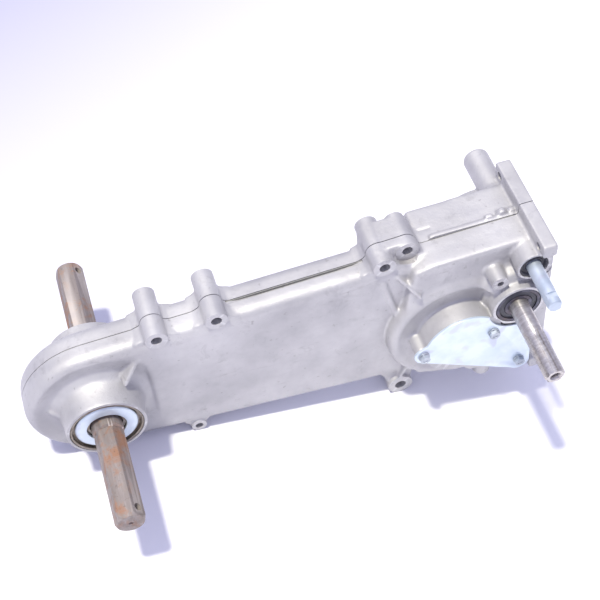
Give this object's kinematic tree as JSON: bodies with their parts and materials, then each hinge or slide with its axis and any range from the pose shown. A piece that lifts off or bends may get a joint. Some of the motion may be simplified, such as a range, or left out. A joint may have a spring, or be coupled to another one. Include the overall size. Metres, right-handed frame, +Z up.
{
  "type": "right angle bevel gearbox",
  "caption": "Long split die-cast gear case with a bevel input at the end flange, a hexagonal cross shaft, a splined side shaft and a push-pull shift rod.",
  "frame": {"origin": "on the input shaft axis at the outer face of the end flange, on the split plane of the case", "axes": "+X out of the end flange along the case, +Y across the case towards the shift rod's closed tube, +Z up"},
  "size_m": [0.547, 0.312, 0.228],
  "materials": {
    "cast": "die-cast matte",
    "zinc_plate": "zinc plated",
    "ground_steel": "ground",
    "forged_steel": "drawn, light rust",
    "gear_steel": "cut and hardened",
    "rubber": "matte",
    "gasket_paper": "matte"
  },
  "bodies": {
    "case": {"near_case_half": "cast", "far_case_half": "cast", "case_gasket": "gasket_paper", "dowel_pin_1": "ground_steel", "dowel_pin_2": "ground_steel", "counter_bearing_far_outer_ring": "ground_steel", "counter_bearing_near_outer_ring": "ground_steel", "cover_plate": "zinc_plate", "drain_plug": "zinc_plate", "drive_chain": "gear_steel", "dust_disc_far": "zinc_plate", "dust_disc_near": "zinc_plate", "hex_bearing_far_outer_ring": "ground_steel", "hex_bearing_near_outer_ring": "ground_steel", "hex_seal_far": "rubber", "hex_seal_near": "rubber", "input_bearing_inner_outer_ring": "ground_steel", "input_bearing_outer_outer_ring": "ground_steel", "input_oil_seal": "rubber", "plate_screw_1": "zinc_plate", "plate_screw_2": "zinc_plate", "plate_screw_3": "zinc_plate", "plate_washer_1": "zinc_plate", "plate_washer_2": "zinc_plate", "plate_washer_3": "zinc_plate", "shift_rod_seal": "rubber", "spline_bearing_far_outer_ring": "ground_steel", "spline_bearing_near_outer_ring": "ground_steel", "spline_bearing_seal": "rubber"},
    "countershaft_set": {"countershaft": "ground_steel", "drive_sprocket": "gear_steel", "counter_gear": "gear_steel", "crown_bevel_gear": "gear_steel", "counter_bearing_near_inner_ring": "ground_steel", "counter_bearing_far_inner_ring": "ground_steel"},
    "input_shaft": {"bevel_pinion_shaft": "ground_steel", "input_bearing_inner_inner_ring": "ground_steel", "input_bearing_outer_inner_ring": "ground_steel"},
    "hex_output": {"hex_output_shaft": "forged_steel", "driven_sprocket": "gear_steel", "hex_bearing_near_inner_ring": "ground_steel", "hex_bearing_far_inner_ring": "ground_steel"},
    "splined_output": {"splined_output_shaft": "ground_steel", "spline_bearing_near_inner_ring": "ground_steel", "spline_bearing_far_inner_ring": "ground_steel"},
    "spline_gear": {"spline_drive_gear": "gear_steel"},
    "sleeve": {"shift_sleeve": "gear_steel"},
    "shifter": {"shift_rod": "zinc_plate", "shift_fork": "forged_steel", "shift_fork_pin": "ground_steel"}
  },
  "joints": [
    {"name": "countershaft_turn", "type": "hinge", "parent": "case", "child": "countershaft_set", "pos_m": [-0.089, 0, 0], "axis": [0, 1, 0], "continuous": true},
    {"name": "input_turn", "type": "hinge", "parent": "case", "child": "input_shaft", "pos_m": [0, 0, 0], "axis": [1, 0, 0], "continuous": true},
    {"name": "hex_output_turn", "type": "hinge", "parent": "case", "child": "hex_output", "pos_m": [-0.451, 0, 0.024], "axis": [0, 1, 0], "continuous": true},
    {"name": "splined_output_turn", "type": "hinge", "parent": "case", "child": "splined_output", "pos_m": [-0.0341, 0, 0.0412], "axis": [0, 1, 0], "continuous": true},
    {"name": "spline_gear_turn", "type": "hinge", "parent": "case", "child": "spline_gear", "pos_m": [-0.0341, 0, 0.0412], "axis": [0, 1, 0], "continuous": true},
    {"name": "shift_rod_slide", "type": "slide", "parent": "case", "child": "shifter", "axis": [0, 1, 0], "range_m": [0, 0.012]},
    {"name": "sleeve_slide", "type": "slide", "parent": "splined_output", "child": "sleeve", "axis": [0, 1, 0], "range_m": [0, 0.012]}
  ],
  "couplings": [
    {"joint": "input_turn", "follows": "countershaft_turn", "ratio": -2},
    {"joint": "hex_output_turn", "follows": "countershaft_turn", "ratio": 0.40909},
    {"joint": "splined_output_turn", "follows": "countershaft_turn", "ratio": -1.8947},
    {"joint": "spline_gear_turn", "follows": "countershaft_turn", "ratio": -1.8947},
    {"joint": "sleeve_slide", "follows": "shift_rod_slide", "ratio": 1}
  ]
}
